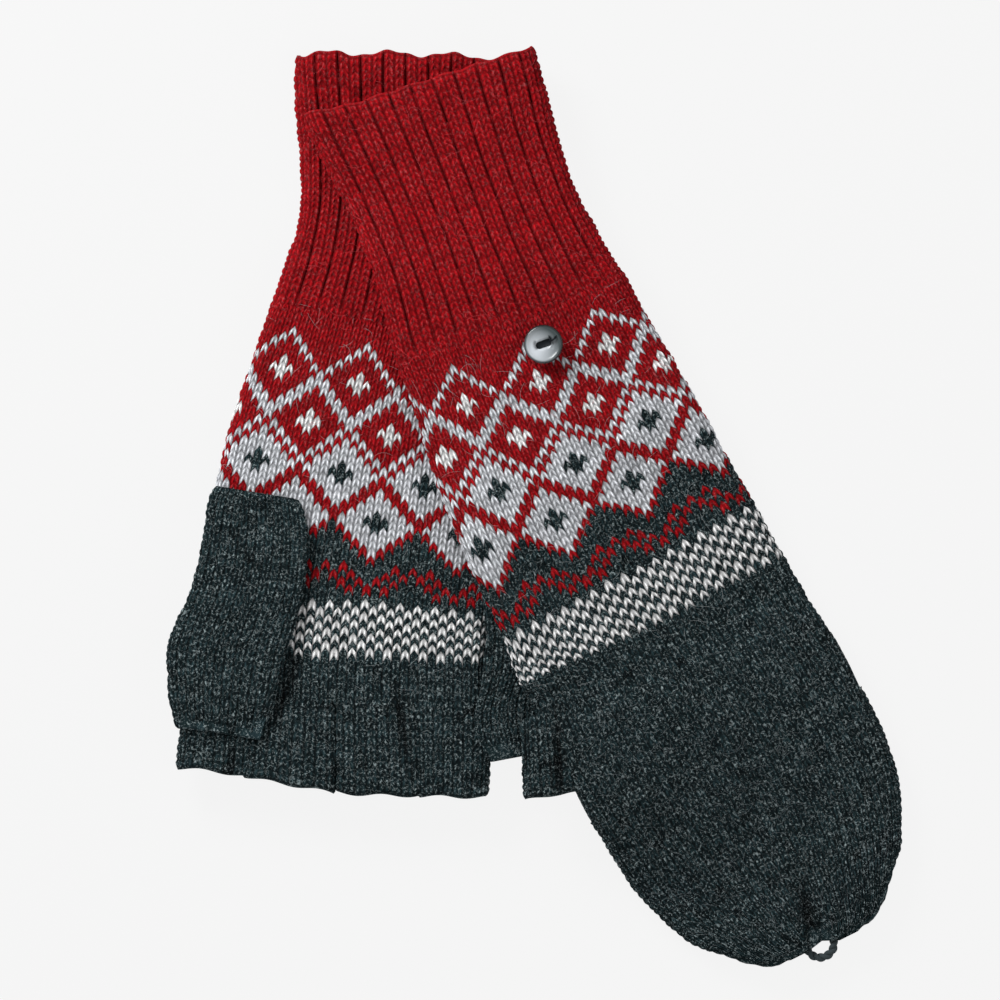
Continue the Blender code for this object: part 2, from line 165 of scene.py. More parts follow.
ROWS_PER_COURSE = 3
CUFF_UNDER_HAND = 0.0022     # the cuff's wool runs on beneath the hand's
STUB_EASE = 0.0010           # the finger stubs' wool fills the gaps between them
LEFT_INDEX_SLOPE = 0.32      # how far the left index stub's hem is askew
HAND_RELIEF = 0.00060        # how far the stitches stand up
CUFF_RELIEF = 0.00075
GROOVE_DEPTH = 0.0011        # of the ribs' purl grooves
CREASE_DEPTH = 0.0010
JOINED_SINK = 0.0006         # a joined end's last course lies this far under the next piece's
RIM_BULGE = 0.0007
LINING_DEPTH = 0.80          # of a layer: where the plain inside lies
WELD = 0.000002
CHEVRON = 0.80               # how far a stitch's legs lean, in courses
SLACK = 0.10                 # and how uneven the stitches are
NO_EDGE = 9.0                # courses added to a joined end's distance, so that nothing fades there
DEEPEST = 0.16               # light that reaches the gaps between the yarns

# yarn colours, linear
RED = (0.335, 0.0045, 0.0080)
GREY = (0.80, 0.82, 0.865)
WHITE = (1.0, 1.0, 1.0)
CHARCOAL = (0.015, 0.030, 0.034)
YARNS = np.array((RED, GREY, WHITE, CHARCOAL))
# each yarn's power on its painted shade
SHADE_POWER = np.array((0.78, 1.05, 1.0, 1.1))    # of each yarn: how far its stitches stand out
PALE_FIBRES = np.array((0.16, 0.20, 0.02, 1.0))   # of each yarn: the charcoal one is a heather
HEATHER = (0.275, 0.325, 0.33)
# spun fibre in the wool's material: scales of its noises, where hairs break off and how wide they are
MOTTLE_SCALE = 1300.0
HAIR_SCALES = (560.0, 900.0)
HAIR_GAPS = (0.485, 0.60)
HAIR_WIDTH = 0.041
FUZZ_SCALE = 3200.0
RED_YARN, GREY_YARN, WHITE_YARN, CHARCOAL_YARN = range(4)
OPEN_DIAMOND = (RED_YARN, GREY_YARN, WHITE_YARN)        # its filling, edge and middle
FILLED_DIAMOND = (GREY_YARN, RED_YARN, CHARCOAL_YARN)
# the button's painted light: the lit pearl, the painted shade across its face, and the share of painted
# shade on its rim
PEARL = (0.45, 0.48, 0.51)
PEARL_SHADE = (0.035, 0.048, 0.05)
RIM_SHADE_SHARE = (0.16, 0.19, 0.19)
THREAD_BLACK = (0.006, 0.008, 0.010)
LOOP_GREY = (0.035, 0.045, 0.049)
STRAY_RADIUS = 0.000028
STRAY_STEPS = 9
GIRTH = 0.160                # round the flattened hand, near enough for a hair's way

# ---- the stage ----
FLOOR_GLOW = 0.877
WORLD_LIGHT = 0.53           # what falls on the wool
WORLD_SEEN = 0.913           # what shows past the floor's edge
VIEW_WIDTH = 0.300
CAMERA_PLACE = (-0.0105, 0.0009, 1.0)


# ---- curves and layout, on arrays ----
def smooth_step(low, high, value):
    share = np.clip((value - low) / (high - low), 0.0, 1.0)
    return share * share * (3.0 - 2.0 * share)


def along(points, s):
    """Cubic through points (s, value, ...), straight beyond the ends; one column for each value."""
    table = np.array(points, float)
    stops, values = table[:, 0], table[:, 1:]
    slopes = np.empty_like(values)
    slopes[1:-1] = (values[2:] - values[:-2]) / (stops[2:] - stops[:-2])[:, None]
    slopes[0] = (values[1] - values[0]) / (stops[1] - stops[0])
    slopes[-1] = (values[-1] - values[-2]) / (stops[-1] - stops[-2])
    s = np.asarray(s, float)
    held = np.clip(s, stops[0], stops[-1])
    i = np.clip(np.searchsorted(stops, held, side="right") - 1, 0, len(stops) - 2)
    span = stops[i + 1] - stops[i]
    t = ((held - stops[i]) / span)[..., None]
    span = span[..., None]
    inside = ((2 * t**3 - 3 * t**2 + 1) * values[i] + (t**3 - 2 * t**2 + t) * span * slopes[i]
              + (-2 * t**3 + 3 * t**2) * values[i + 1] + (t**3 - t**2) * span * slopes[i + 1])
    beyond = (s - held)[..., None] * np.where((s > held)[..., None], slopes[-1], slopes[0])
    return inside + beyond


def width_at(points, s):
    return along(points, s)[..., 0]


def on_table(centre_line, u, s):
    middle = along(centre_line, s)
    run = along(centre_line, s + 0.002) - along(centre_line, s - 0.002)
    run = run / np.linalg.norm(run, axis=-1, keepdims=True)
    x = middle[..., 0] - u * run[..., 1] - FOOTPRINT_CENTRE[0]
    y = middle[..., 1] + u * run[..., 0] - FOOTPRINT_CENTRE[1]
    return x, y


def drawn_back(amount, u, s):
    return s - amount * smooth_step(DRAW_START_S, KNUCKLE_S, s) * smooth_step(-0.010, 0.052, -u)


def place_right(u, s, n):
    x, y = on_table(RIGHT_CENTRE, u, s)
    return np.stack((x, y, RIGHT_LIFT * smooth_step(*RIGHT_RISE, s) + HAND_HALF - n), axis=-1)


def place_right_hand(u, s, n):
    return place_right(u, drawn_back(RIGHT_DRAW, u, s), n)


def place_right_folded(u, s, n):
    """The cap, turned back about its seam and under the hand."""
    return place_right(u, 2.0 * HINGE_S - s, HAND_HALF + GAP + FOLDED_CAP_HALF + n)


def point_of(place, u, s, n):
    return place(np.array(u), np.array(s), np.array(n))


def right_edge_x(y):
    return -0.0120 + 0.0125 * smooth_step(-0.020, 0.100, y)


def stack_height(y):
    mouth = 1.2 * (MOUTH_HALF - HAND_HALF) * smooth_step(0.092, 0.120, y)
    lift = RIGHT_LIFT * (1.0 - smooth_step(0.062, 0.098, y))
    return 2 * HAND_HALF + mouth + lift + 2 * GAP


def left_rest_height(x, y, s):
    thumb = THUMB_LAYER * smooth_step(*THUMB_LAYER_FADE, s)
    start, end = LEFT_FALL
    fallen = np.clip((x - right_edge_x(y) - start) / (end - start), 0.0, 1.0)
    return (stack_height(y) + thumb) * (1.0 - fallen) * (1.0 - smooth_step(*TIP_FALL, s))


def place_left(u, s, n):
    x, y = on_table(LEFT_CENTRE, u, s)
    return np.stack((x, y, left_rest_height(x, y, s) + HAND_HALF + n), axis=-1)


def place_left_hand(u, s, n):
    return place_left(u, drawn_back(LEFT_DRAW, u, s), n)


def mouth_share(s):
    """1 at the cuff's edge, 0 well inside it."""
    return 1.0 - smooth_step(0.0, 0.035, s)


def drape_left(u, s, n):
    """The left mitten's knitting as it lies: its edge askew, its rows bowed."""
    far_layer = smooth_step(-0.001, 0.002, -n) * (1.0 - (u / 0.038) ** 2)
    edge = 0.055 * u - 0.0001 * far_layer + 0.0003 * np.sin(u * 620.0)
    edge = edge - 0.0014 * smooth_step(0.020, 0.034, -u)
    bow = 0.0042 * (1.0 - np.cos(np.clip(u, -0.044, 0.044) * math.pi / 0.044)) / 2.0
    rows = smooth_step(0.055, 0.090, s) * (1.0 - smooth_step(0.110, 0.165, s))
    narrow = 0.0018 * smooth_step(0.070, 0.095, s) * (1.0 - smooth_step(0.150, 0.175, s))
    u = u + narrow * smooth_step(0.010, 0.040, -u)
    return place_left_hand(u, s + edge * mouth_share(s) - bow * rows, n)


def drape_right(u, s, n):
    """The right mitten's knitting as it lies: its edge wavy, its back layer longer."""
    far_layer = smooth_step(-0.001, 0.002, -n) * (1.0 - (u / 0.038) ** 2)
    edge = 0.0008 * np.sin(u * 340.0 + 1.0) + 0.0003 * np.sin(u * 900.0) - 0.0012 * far_layer
    slack = 0.0022 * smooth_step(-0.010, 0.014, -u) * smooth_step(0.135, 0.160, s)
    taken_up = 0.0013 * smooth_step(0.163, 0.181, s)
    shift = (slack - taken_up) * (1.0 - smooth_step(0.180, 0.194, s))
    return place_right_hand(u, s + edge * mouth_share(s) + shift, n)


def flat_section(turn, half_width, half_thick):
    """u, n round a flattened tube, at an even pace: turn 0.25 is the middle of its back."""
    flat = half_width - half_thick
    bend = math.pi * half_thick
    way = (turn % 1.0) * (4.0 * flat + 2.0 * bend)
    first = bend / 2
    back = bend / 2 + 2 * flat
    far = 1.5 * bend + 2 * flat
    front = 1.5 * bend + 4 * flat
    parts = (way < first, way < back, way < far, way < front)
    angle = way / half_thick
    turned = (way - back) / half_thick + math.pi / 2
    ending = (way - front) / half_thick - math.pi / 2
    u = np.select(parts, (flat + half_thick * np.cos(angle), flat - (way - first),
                          -flat + half_thick * np.cos(turned), -flat + (way - far)),
                  flat + half_thick * np.cos(ending))
    n = np.select(parts, (half_thick * np.sin(angle), half_thick, half_thick * np.sin(turned), -half_thick),
                  half_thick * np.sin(ending))
    return u, n


# ---- the knitted grids ----
def stitch_columns(wales):
    """For each column round a plain tube: place round it, part of its stitch, stitch, groove."""
    count = wales * COLUMNS_PER_STITCH
    index = np.arange(count)
    part = (index % COLUMNS_PER_STITCH) / COLUMNS_PER_STITCH
    wale = index // COLUMNS_PER_STITCH
    return index / count, part, wale, np.zeros(count)


def rib_columns():
    """Ribs of two knit wales and a sunk groove."""
    turns, parts, wales, grooves = [], [], [], []
    knit_share = (1.0 - GROOVE_SHARE) / 2.0
    for rib in range(RIB_REPEATS):
        for wale in range(2):
            for step in range(COLUMNS_PER_STITCH):
                part = step / COLUMNS_PER_STITCH
                turns.append((rib + (wale + part) * knit_share) / RIB_REPEATS)
                parts.append(part)
                wales.append(3 * rib + wale)
                grooves.append(0.0)
        for step, depth in ((0, 0.35), (1, 0.8), (2, 0.7)):
            turns.append((rib + 1.0 - GROOVE_SHARE + GROOVE_SHARE * step / 3.0) / RIB_REPEATS)
            parts.append(0.0)
            wales.append(3 * rib + 2)
            grooves.append(depth)
    return np.array(turns) + RIB_TURN, np.array(parts), np.array(wales), np.array(grooves)


def stitch_relief(part, rise):
    """Height of a stitch's surface, 0 to 1: two rounded legs, each overlapping the next course."""
    legs = np.abs(np.sin(2.0 * math.pi * part)) ** 1.7
    middle = 0.42 * (np.abs(part - 0.5) < 0.01)
    over = 0.12 + 0.88 * np.sin(math.pi * np.clip(rise * 0.95 + 0.04, 0.0, 1.0)) ** 0.7
    return np.maximum(legs, middle) * over


def smooth_noise(points, size, seed):
    """Slow even noise, about -1 to 1, of the given feature size."""
    source = np.random.default_rng(seed)
    total = np.zeros(points.shape[:-1])
    for _ in range(7):
        direction = source.normal(size=3)
        direction *= 2.0 * math.pi / size * source.uniform(0.6, 1.3) / np.linalg.norm(direction)
        total += np.sin(points @ direction + source.uniform(0.0, 2.0 * math.pi))
    return total / 3.0


def surface_normals(shape, turns, s):
    round_it = shape(turns + 0.002, s) - shape(turns - 0.002, s)
    up_it = shape(turns, s + 0.0008) - shape(turns, s - 0.0008)
    normal = np.cross(round_it, up_it)
    length = np.linalg.norm(normal, axis=-1, keepdims=True)
    return normal / np.maximum(length, 1e-12)


def mesh_of(name, points, faces, colours, uvs):
    mesh = bpy.data.meshes.new(name)
    mesh.vertices.add(len(points))
    mesh.vertices.foreach_set("co", points.astype(np.float32).ravel())
    mesh.loops.add(faces.size)
    mesh.loops.foreach_set("vertex_index", faces.astype(np.int32).ravel())
    mesh.polygons.add(len(faces))
    mesh.polygons.foreach_set("loop_start", np.arange(0, faces.size, 4, dtype=np.int32))
    mesh.polygons.foreach_set("loop_total", np.full(len(faces), 4, np.int32))
    mesh.update(calc_edges=True)
    layer = mesh.color_attributes.new("yarn", "BYTE_COLOR", "CORNER")
    layer.data.foreach_set("color", np.clip(colours, 0.0, 1.0).astype(np.float32).ravel())
    uv_layer = mesh.uv_layers.new(name="OFBake")
    uv_layer.data.foreach_set("uv", uvs.astype(np.float32).ravel())
    mesh.polygons.foreach_set("use_smooth", np.ones(len(faces), bool))
    return mesh


def crease_depth(creases, points, normal):
    """How far, 0 to 1, the upper side of the fabric dips into its creases."""
    depth = np.zeros(points.shape[:-1])
    for start, end, width, most in creases:
        run = np.subtract(end, start)
        off_start = points[..., :2] - start
        share = np.clip(off_start @ run / (run @ run), 0.0, 1.0)
        away = np.linalg.norm(off_start - share[..., None] * run, axis=-1)
        dip = most * (0.25 + 0.75 * smooth_step(0.0, 0.6, share)) * np.exp(-(away / width) ** 2)
        depth = np.maximum(depth, dip)
    return depth * (normal[..., 2] > 0.2)


def knit_tube(name, shape, columns, s_range, chart, relief=HAND_RELIEF, closed=False, starts=None,
              joins=(False, False), creases=(), seed=1):
    """A knitted tube as a closed shell: the stitches outside, a plain lining inside.

    shape(turn, s) gives the tube's outer surface; chart(wale, course) the yarn of each stitch.
    closed draws the far end together.  starts gives each column's own first s, where the
    near edge isn't square.  joins says whether the near and far ends run on into another piece."""
    turn, part, wale, groove = columns
    s_low, s_high = s_range
    courses = max(2, round(abs(s_high - s_low) / COURSE))
    rows = courses * ROWS_PER_COURSE + 1
    course = np.arange(rows) / ROWS_PER_COURSE
    rise = course % 1.0
    lean = CHEVRON * (np.abs(2.0 * part - 1.0) - 0.5) * (groove == 0.0)
    from_near = course + NO_EDGE * joins[0]
    from_far = courses - course + NO_EDGE * joins[1]
    to_edge = np.minimum(from_near, from_far)
    fade = np.clip(to_edge / 1.2, 0.0, 1.0)
    source = np.random.default_rng(seed)
    slack = source.normal(0.0, SLACK, (courses + 2, int(wale.max()) + 1))
    slack = slack[(course + 0.999).astype(int)][:, wale]
    s = s_low + (s_high - s_low) * (course[:, None] + (lean[None, :] + slack) * fade[:, None]) / courses
    if starts is not None:
        s = np.maximum(s, starts[None, :])
    turns = np.broadcast_to(turn, s.shape)
    base = shape(turns, s)
    groove_fade = np.clip((courses + NO_EDGE * (not joins[1]) - course - 0.5) / 4.0, 0.0, 1.0)
    groove_depth = groove[None, :] * groove_fade[:, None] * np.clip(0.9 + 2.0 * slack, 0.4, 1.2)
    normal = surface_normals(shape, turns, s)
    centre = base.mean(axis=1, keepdims=True)
    inward = bool(np.sum(normal * (base - centre)) < 0)
    if inward:
        normal = -normal
    height = stitch_relief(part[None, :], rise[:, None]) * (groove[None, :] == 0.0)
    uneven = 0.00018 * smooth_noise(base, 0.0050, seed) + 0.00035 * smooth_noise(base, 0.024, seed + 1)
    sunk = crease_depth(creases, base, normal)
    under_next = JOINED_SINK * joins[1] * np.clip(1.0 - (courses - course), 0.0, 1.0)
    # painted shade, carried in the colours: dark in the gaps between the yarns and in the purl grooves
    lit_stitch = DEEPEST + (1.0 - DEEPEST) * height**1.7
    lit_groove = 0.50 - 0.44 * groove_depth
    painted_light = np.where(groove[None, :] > 0.0, lit_groove, lit_stitch)
    # painted shade in the creases
    painted_light = painted_light * (1.0 - 0.90 * sunk)
    height = height * np.clip(to_edge * 2.0, 0.5, 1.0)[:, None]
    offset = relief * (height - 0.75) + uneven
    offset = offset - GROOVE_DEPTH * groove_depth - CREASE_DEPTH * sunk - under_next[:, None]
    outer = base + normal * offset[..., None]
    inner_rows = np.arange(0, rows, ROWS_PER_COURSE * 2)
    if inner_rows[-1] != rows - 1:
        inner_rows = np.append(inner_rows, rows - 1)
    lining = LAYER * LINING_DEPTH + 0.0004 * (groove[:, None] > 0.0)
    inner = base[inner_rows] - normal[inner_rows] * lining
    near_rim = 0.5 * (outer[0] + inner[0]) - rim_bulge(base[0], base[1]) * (not joins[0])
    far_rim = 0.5 * (outer[-1] + inner[-1]) - rim_bulge(base[-1], base[-2]) * (not joins[1])
    points = shell_rings(outer, inner, near_rim, far_rim, closed)
    total, across, _ = points.shape
    # painted shade on the rims and the plain lining, deeper in the grooves; the stitches' rows take the
    # painted shade worked out above
    light = np.broadcast_to(np.where(groove > 0.0, 0.35, 0.70), (total, across)).copy()
    light[1:rows + 1] = painted_light
    row = np.arange(total)
    faces = grid_faces(total, across)
    if closed:
        # nothing joins the outer tip to the inner one
        row = row[row != rows + 2]
        faces = faces[row]
    if inward:
        faces = faces[..., ::-1]
    course_of_row = np.clip((row - 1) // ROWS_PER_COURSE, 0, courses - 1)
    yarn = np.broadcast_to(chart(wale[None, :], course_of_row[:, None]), (len(row), across))
    shades = stitch_shades(wale, course_of_row, seed)
    colours = stitch_colours(yarn, shades, light.reshape(-1)[faces])
    uvs = grid_uvs(row, rows, across, inward)
    mesh = mesh_of(name, points.reshape(-1, 3), faces.reshape(-1, 4), colours, uvs)
    weld_collapsed(mesh)
    return linked_object(name, mesh)


def shell_rings(outer, inner, near_rim, far_rim, closed):
    """The rings of a closed shell: out along the stitches, back along the lining."""
    ends = [far_rim[None]]
    if closed:
        ring = (1, outer.shape[1], 3)
        tip = outer[-1].mean(axis=0)
        inner_tip = inner[-1].mean(axis=0)
        halfway = tip + (outer[-1] - tip)[None] * 0.5
        ends = [halfway, np.broadcast_to(tip, ring), np.broadcast_to(inner_tip, ring)]
    return np.concatenate([near_rim[None], outer, *ends, inner[::-1]])


def grid_faces(total, across):
    """A quad for each place of a grid that closes on itself both ways."""
    row = np.arange(total)[:, None] * across
    above = (row + across) % (total * across)
    column = np.arange(across)[None, :]
    right = (column + 1) % across
    return np.stack((row + column, row + right, above + right, above + column), axis=-1)


def stitch_colours(yarn, shades, light):
    """Each corner's colour, darkened by its painted shade, and in its alpha how many pale fibres show
    there, fewer in deep painted shade.
    """
    fibres = PALE_FIBRES[yarn]
    colours = YARNS[yarn] * (1.0 + shades * (1.0 + 2.5 * fibres))[..., None]
    colours = colours[..., None, :] * light[..., None] ** SHADE_POWER[yarn][..., None, None]
    fibres = fibres[..., None, None] * (0.12 + 0.88 * light[..., None])
    return np.concatenate((colours, fibres), axis=-1).reshape(-1, 4, 4)


def rim_bulge(edge, within):
    """How far a rounded rim stands beyond the edge of the fabric."""
    inward = within - edge
    inward = inward / np.maximum(np.linalg.norm(inward, axis=-1, keepdims=True), 1e-9)
    return inward * RIM_BULGE


def stitch_shades(wale, course, seed):
    """How much lighter each stitch is than its yarn: no two take quite the same shade."""
    source = np.random.default_rng(seed + 100)
    table = source.normal(0.0, 0.07, (int(course.max()) + 1, int(wale.max()) + 1))
    return np.clip(table, -0.2, 0.2)[course[:, None], wale[None, :]]


def grid_uvs(row, outer_rows, across, inward):
    """The stitches fill nine tenths of the square, the lining the rest."""
    height = np.where(row <= outer_rows, 0.9 * row / outer_rows, 0.92 + 0.07 * (row - outer_rows) / 60.0)
    height = np.clip(height, 0.0, 0.995)
    step = np.where(row <= outer_rows, 0.9 / outer_rows, 0.07 / 60.0)
    low = np.broadcast_to(height[:, None], (len(row), across))
    high = low + step[:, None]
    left = np.broadcast_to((np.arange(across) / across)[None, :], low.shape)
    right = left + 1.0 / across
    corners = [np.stack(pair, axis=-1) for pair in ((left, low), (right, low), (right, high), (left, high))]
    if inward:
        corners = corners[::-1]
    return np.stack(corners, axis=-2)


def linked_object(name, data):
    made = bpy.data.objects.new(name, data)
    bpy.context.scene.collection.objects.link(made)
    return made


def weld_collapsed(mesh):
    bm = bmesh.new()
    bm.from_mesh(mesh)
    bmesh.ops.remove_doubles(bm, verts=bm.verts, dist=WELD)
    bm.to_mesh(mesh)
    bm.free()


# ---- the colour pattern ----
def lattice(across, course):
    """Yarn of the stitch that lies so many stitches across from the pattern's middle, on this course."""
    across, course = np.broadcast_arrays(across, course)
    yarn = np.where(course < 2 * DIAMOND_PITCH, RED_YARN, CHARCOAL_YARN)
    for line in range(1, DIAMOND_LINES + 1):
        phase = 0 if line % 2 else REPEAT // 2
        side = np.abs((across - phase + REPEAT // 2) % REPEAT - REPEAT // 2)
        steps = side + np.abs(course - DIAMOND_PITCH * line)
        fill, edge, motif = OPEN_DIAMOND if line <= LAST_OPEN_LINE else FILLED_DIAMOND
        within = np.where(steps == DIAMOND_PITCH - 1, edge, fill)
        yarn = np.where(steps < DIAMOND_PITCH, within, yarn)
        yarn = np.where(steps <= 1, motif, yarn)
    every_other = (across + course) % 2 == 0
    wave = WAVE_COURSE + WAVE_HEIGHT * np.cos(2.0 * math.pi * (across - REPEAT / 2) / REPEAT)
    dotted = every_other & (np.abs(course - wave) <= WAVE_HEIGHT)
    yarn = np.where((course >= (DIAMOND_LINES + 1) * DIAMOND_PITCH) & dotted, RED_YARN, yarn)
    low, high = BIRDS_EYE_COURSES
    birds_eye = (course >= low) & (course <= high)
    return np.where(birds_eye, np.where(every_other, WHITE_YARN, CHARCOAL_YARN), yarn)


def hand_chart(shift):
    return lambda wale, course: lattice(wale - HAND_WALES // 2 + shift, course + FIRST_COURSE)


def plain(yarn):
    return lambda wale, course: np.full(np.broadcast_shapes(np.shape(wale), np.shape(course)), yarn)


# ---- materials ----
def node(tree, kind, **settings):
    made = tree.nodes.new(kind)
    for key, value in settings.items():
        setattr(made, key, value)
    return made


def wool(name):
    """Knitted wool: the stitch's colour with its painted shade, mottled like spun fibre, with pale hairs
    where it has them.
    """
    made = bpy.data.materials.new(name)
    made.use_nodes = True
    tree = made.node_tree
    shader = tree.nodes["Principled BSDF"]
    shader.inputs["Roughness"].default_value = 0.95
    shader.inputs["Specular IOR Level"].default_value = 0.06
    link = tree.links.new
    place = node(tree, "ShaderNodeTexCoord")
    yarn = node(tree, "ShaderNodeAttribute", attribute_name="yarn")
    mottle = noise(tree, place, MOTTLE_SCALE, 2.0, 1.8)
    spread = map_range(tree, 0.36, 0.66, 0.70, 1.26)
    shade = node(tree, "ShaderNodeVectorMath", operation="SCALE")
    link(mottle.outputs["Fac"], spread.inputs["Value"])
    link(yarn.outputs["Color"], shade.inputs[0])
    link(spread.outputs["Result"], shade.inputs["Scale"])
    first, second = [hair_lines(tree, place, scale) for scale in HAIR_SCALES]
    hairs = node(tree, "ShaderNodeMath", operation="MAXIMUM")
    amount = node(tree, "ShaderNodeMath", operation="MULTIPLY")
    pale = node(tree, "ShaderNodeVectorMath", operation="SCALE")
    pale.inputs[0].default_value = HEATHER
    total = node(tree, "ShaderNodeVectorMath", operation="ADD")
    link(first, hairs.inputs[0])
    link(second, hairs.inputs[1])
    link(hairs.outputs["Value"], amount.inputs[0])
    link(yarn.outputs["Alpha"], amount.inputs[1])
    link(amount.outputs["Value"], pale.inputs["Scale"])
    link(shade.outputs["Vector"], total.inputs[0])
    link(pale.outputs["Vector"], total.inputs[1])
    link(total.outputs["Vector"], shader.inputs["Base Color"])
    fibres = noise(tree, place, FUZZ_SCALE, 2.0, 0.0)
    bump = node(tree, "ShaderNodeBump")
    bump.inputs["Strength"].default_value = 0.35
    bump.inputs["Distance"].default_value = 0.00012
    link(fibres.outputs["Fac"], bump.inputs["Height"])
    link(bump.outputs["Normal"], shader.inputs["Normal"])
    return made


def noise(tree, place, scale, detail, distortion):
    made = node(tree, "ShaderNodeTexNoise", noise_dimensions="3D")
    made.inputs["Scale"].default_value = scale
    made.inputs["Detail"].default_value = detail
    made.inputs["Distortion"].default_value = distortion
    tree.links.new(place.outputs["Object"], made.inputs["Vector"])
    return made


def hair_lines(tree, place, scale):
    """Broken curly lines: where a noise passes its middle value, under a second noise."""
    wander = noise(tree, place, scale, 1.0, 0.7)
    off_middle = node(tree, "ShaderNodeMath", operation="SUBTRACT")
    off_middle.inputs[1].default_value = 0.5
    away = node(tree, "ShaderNodeMath", operation="ABSOLUTE")
    line = map_range(tree, 0.0, HAIR_WIDTH, 1.0, 0.0, "SMOOTHSTEP")
    gaps = noise(tree, place, scale * 1.7, 0.0, 0.0)
    shown = map_range(tree, *HAIR_GAPS, 0.0, 1.0, "SMOOTHSTEP")
    both = node(tree, "ShaderNodeMath", operation="MULTIPLY")
    link = tree.links.new
    link(wander.outputs["Fac"], off_middle.inputs[0])
    link(off_middle.outputs["Value"], away.inputs[0])
    link(away.outputs["Value"], line.inputs["Value"])
    link(gaps.outputs["Fac"], shown.inputs["Value"])
    link(line.outputs["Result"], both.inputs[0])
    link(shown.outputs["Result"], both.inputs[1])
    return both.outputs["Value"]


def map_range(tree, from_min, from_max, to_min, to_max, way="LINEAR"):
    made = node(tree, "ShaderNodeMapRange", interpolation_type=way)
    made.inputs["From Min"].default_value = from_min
    made.inputs["From Max"].default_value = from_max
    made.inputs["To Min"].default_value = to_min
    made.inputs["To Max"].default_value = to_max
    return made


# ---- pieces ----
def finish_piece(piece, material, slot, body, *nodes):
    piece.data.materials.append(material)
    if body:
        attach(piece, body)
    if nodes:
        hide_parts(*nodes)
    return piece


def cuff_shape(place, widths, opens_up):
    def shape(turn, s):
        half = HAND_HALF + (MOUTH_HALF - HAND_HALF) * (1.0 - smooth_step(0.0, 0.025, s))
        swayed = turn + 0.0011 * np.sin(95.0 * s) + 0.0006 * np.sin(240.0 * s + 40.0 * turn)
        u, n = flat_section(swayed, width_at(widths, s), half)
        rests = (n < 0) if opens_up else (n > 0)
        return place(u, s, np.where(rests, n * HAND_HALF / half, n))
    return shape


def tube_shape(place, widths, half):
    def shape(turn, s):
        u, n = flat_section(turn, width_at(widths, s), half)
        return place(u, s, n)
    return shape


def turned_columns(columns, mirrored):
    """Turn the pattern's middle to the side of the mitten that lies uppermost."""
    turn, part, wale, groove = columns
    turn = (0.75 + turn - 0.5) % 1.0 if mirrored else (0.25 - turn + 0.5) % 1.0
    return turn, part, wale, groove


def stub_shape(place, stub, hem_slope):
    _, base_u, base_half, splay, hem_half = stub
    lean = math.tan(math.radians(splay))

    def shape(turn, s):
        share = (s - KNUCKLE_S) / STUB_LENGTH
        ease = STUB_EASE * (0.8 + 0.8 * share)
        u, n = flat_section(turn, base_half + (hem_half - base_half) * share + ease, HAND_HALF)
        n = np.sign(n) * HAND_HALF * (np.abs(n) / HAND_HALF) ** 0.5
        hem = share * (hem_slope * u + 0.0004 * np.sin(u * 420.0 + base_u * 900.0))
        return place(base_u - lean * (s - KNUCKLE_S) + u, s + hem, n)
    return shape


def thumb_shape(place, swing):
    pivot_u, pivot_s = THUMB_PIVOT

    def shape(turn, s):
        u, n = flat_section(turn, width_at(THUMB_WIDTH, s), THUMB_HALF)
        n = THUMB_HALF - (THUMB_HALF - n) * (1.0 - 0.62 * smooth_step(0.190, THUMB_HEM_S, s))
        across = width_at(THUMB_AXIS, s) + u - pivot_u
        down = s - pivot_s
        return place(pivot_u + across * math.cos(swing) - down * math.sin(swing),
                     pivot_s + across * math.sin(swing) + down * math.cos(swing),
                     n - HAND_HALF - GAP - THUMB_HALF)
    return shape


def left_cap_shape(turn, s):
    """Over the stubs it stands a layer proud of the hand, whose wool it grows out of.

    Its tip is drawn in at the middle, where the loop hangs between two lobes."""
    over_stubs = HAND_HALF + GAP + LAYER
    u, n = flat_section(turn, width_at(CAP_WIDTH, s), HAND_HALF)
    end = smooth_step(0.268, CAP_TIP_S, s)
    lobe = smooth_step(0.0024, 0.0050, np.abs(u + 0.0002)) * (1.0 - smooth_step(0.016, 0.034, np.abs(u)))
    lobe = lobe * (0.0062 + 0.0012 * (u > 0)) - 0.0036
    drop = smooth_step(POCKET_S, POCKET_S + 0.030, s)
    grown = smooth_step(HINGE_S - 0.002, HINGE_S + 0.012, s)
    top = over_stubs + (HAND_HALF - over_stubs) * drop - (GAP + LAYER + 0.0003) * (1.0 - grown)
    s = s + lobe * end
    return place_left(width_at(CAP_MIDDLE, s) + u, s, np.where(n > 0, n * top / HAND_HALF, n))


def right_cap_shape(turn, s):
    u, n = flat_section(turn, FOLDED_CAP_NARROWING * width_at(CAP_WIDTH, s), FOLDED_CAP_HALF)
    return place_right_folded(u, s, n)


def cap_starts(turn, back_is_single):
    """The cap's near edge: at the seam on the single layer, at the pocket's edge elsewhere."""
    n_side = np.sin(2.0 * math.pi * turn)
    single = n_side > 0.06 if back_is_single else n_side < -0.06
    return np.where(single, HINGE_S, POCKET_S)


